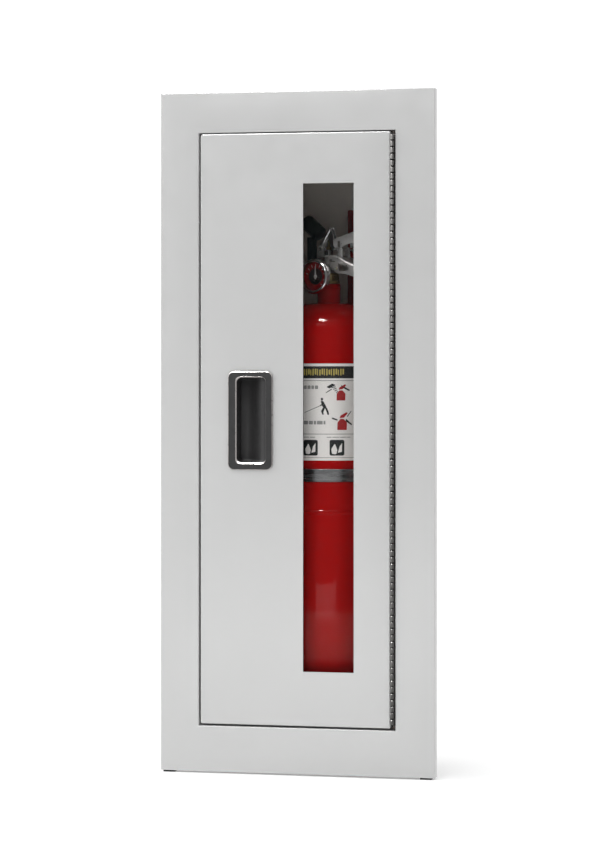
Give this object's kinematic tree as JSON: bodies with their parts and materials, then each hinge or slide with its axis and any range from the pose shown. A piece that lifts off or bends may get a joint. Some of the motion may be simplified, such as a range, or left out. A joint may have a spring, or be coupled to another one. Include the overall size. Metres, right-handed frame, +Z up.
{
  "type": "recessed fire extinguisher cabinet",
  "caption": "Recessed steel wall cabinet with flat trim and a hinged windowed door, holding a red hand extinguisher on a strapped bracket.",
  "frame": {"origin": "centre of the tub's outer back face", "axes": "+X to the right of someone facing the door, +Y back into the wall, +Z up"},
  "size_m": [0.287, 0.1444, 0.6998],
  "materials": {
    "cabinet_paint": "satin light grey powder coat",
    "rubber": "matt",
    "magnet": "matt black",
    "hinge_steel": "satin",
    "charcoal_plastic": "fine texture",
    "clear_glass": "polished",
    "red_paint": "gloss red enamel",
    "strap_steel": "bright rolled",
    "label_film": "printed film",
    "black_plastic": "matt",
    "brass": "dull machined",
    "chrome": "polished",
    "red_dial": "gloss",
    "white_plastic": "gloss"
  },
  "bodies": {
    "cabinet": {"tub_shell": "cabinet_paint", "trim_frame": "cabinet_paint", "foot_pad_left": "rubber", "foot_pad_right": "rubber", "catch_magnet": "magnet", "hinge_leaf_frame": "hinge_steel", "hinge_pin": "hinge_steel", "hinge_shim": "hinge_steel", "bracket_plate": "red_paint", "bracket_shelf": "red_paint", "strap_band": "strap_steel", "strap_latch_post": "strap_steel", "bracket_screw_1": "strap_steel", "bracket_screw_2": "strap_steel", "bracket_screw_3": "strap_steel"},
    "door": {"door_panel": "cabinet_paint", "hinge_leaf_door": "hinge_steel", "pull_cup": "charcoal_plastic", "pull_clamp": "hinge_steel", "window_gasket": "rubber", "window_pane": "clear_glass", "window_retainer": "hinge_steel", "catch_plate": "hinge_steel"},
    "latch": {"strap_latch": "strap_steel"},
    "extinguisher": {"cylinder_shell": "red_paint", "label_sleeve": "label_film", "siphon_tube": "black_plastic", "neck_seal": "rubber", "valve_body": "brass", "valve_spring": "strap_steel", "carry_handle": "chrome", "lever_pivot_pin": "chrome", "nozzle_elbow": "black_plastic", "nozzle_horn": "black_plastic", "gauge_case": "brass", "gauge_bezel": "chrome", "gauge_dial": "red_dial", "gauge_lens": "clear_glass"},
    "lever": {"operating_lever": "chrome"},
    "stem": {"valve_stem": "brass"},
    "pin": {"safety_pin": "chrome"},
    "ring": {"pull_ring": "chrome"},
    "needle": {"gauge_needle": "white_plastic"}
  },
  "joints": [
    {"name": "door_hinge", "type": "hinge", "parent": "cabinet", "child": "door", "pos_m": [0.0998, -0.1424, 0], "axis": [0, 0, 1], "range_deg": [0, 170]},
    {"name": "strap_latch_turn", "type": "hinge", "parent": "cabinet", "child": "latch", "pos_m": [0.0775, -0.056, -0.0476], "axis": [0, 0, 1], "range_deg": [0, 150]},
    {"name": "extinguisher_lift", "type": "slide", "parent": "cabinet", "child": "extinguisher", "axis": [0, 0, 1], "range_m": [0, 0.06]},
    {"name": "lever_squeeze", "type": "hinge", "parent": "extinguisher", "child": "lever", "pos_m": [0.01006, -0.05891, 0.1877], "axis": [0.4067, 0.9135, 0], "range_deg": [0, 16], "stiffness_Nm_per_rad": 2, "springref_deg": -3.44},
    {"name": "valve_stem_slide", "type": "slide", "parent": "extinguisher", "child": "stem", "axis": [0, 0, -1], "range_m": [0, 0.00205]},
    {"name": "safety_pin_pull", "type": "slide", "parent": "extinguisher", "child": "pin", "axis": [0.4067, 0.9135, 0], "range_m": [0, 0.027]},
    {"name": "pull_ring_swing", "type": "hinge", "parent": "pin", "child": "ring", "pos_m": [0.04221, -0.05407, 0.1863], "axis": [0.9135, -0.4067, 0], "range_deg": [-8, 60]},
    {"name": "gauge_needle_turn", "type": "hinge", "parent": "extinguisher", "child": "needle", "pos_m": [0.00724, -0.08393, 0.1583], "axis": [-0.4067, -0.9135, 0], "range_deg": [-60, 60], "stiffness_Nm_per_rad": 0.0005}
  ],
  "couplings": [
    {"joint": "valve_stem_slide", "follows": "lever_squeeze", "m_per_rad": 0.0071}
  ]
}
